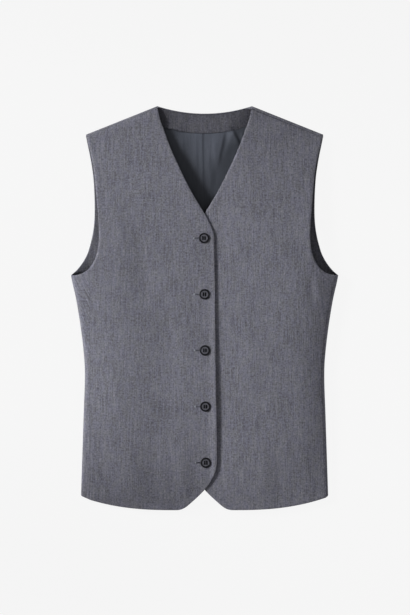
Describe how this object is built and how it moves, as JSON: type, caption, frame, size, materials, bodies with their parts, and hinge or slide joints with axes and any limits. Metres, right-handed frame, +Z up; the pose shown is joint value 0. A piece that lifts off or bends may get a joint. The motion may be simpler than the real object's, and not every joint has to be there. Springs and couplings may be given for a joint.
{
  "type": "tailored waistcoat",
  "caption": "Woven tailored waistcoat laid flat, front up: V neck, cutaway hem points, buttoned front, satin back lining.",
  "frame": {"origin": "middle of the garment's outline, on the surface it lies on", "axes": "+X to the viewer's right (the wearer's left), +Y from hem to neck, +Z up from the surface, out of the front"},
  "size_m": [0.401, 0.606, 0.0262],
  "materials": {
    "shell_cloth": "mid grey heathered worsted weave, matt",
    "lining_satin": "blue-grey satin lining, soft sheen",
    "button": "dark grey, satin, raised rim"
  },
  "bodies": {
    "root": {"back": "shell_cloth", "back_lining": "lining_satin", "neck_facing": "shell_cloth", "armhole_facing_right": "shell_cloth", "armhole_facing_left": "shell_cloth", "front_left": "shell_cloth", "front_right": "shell_cloth", "button_1": "button", "button_2": "button", "button_3": "button", "button_4": "button", "button_5": "button"}
  },
  "joints": []
}
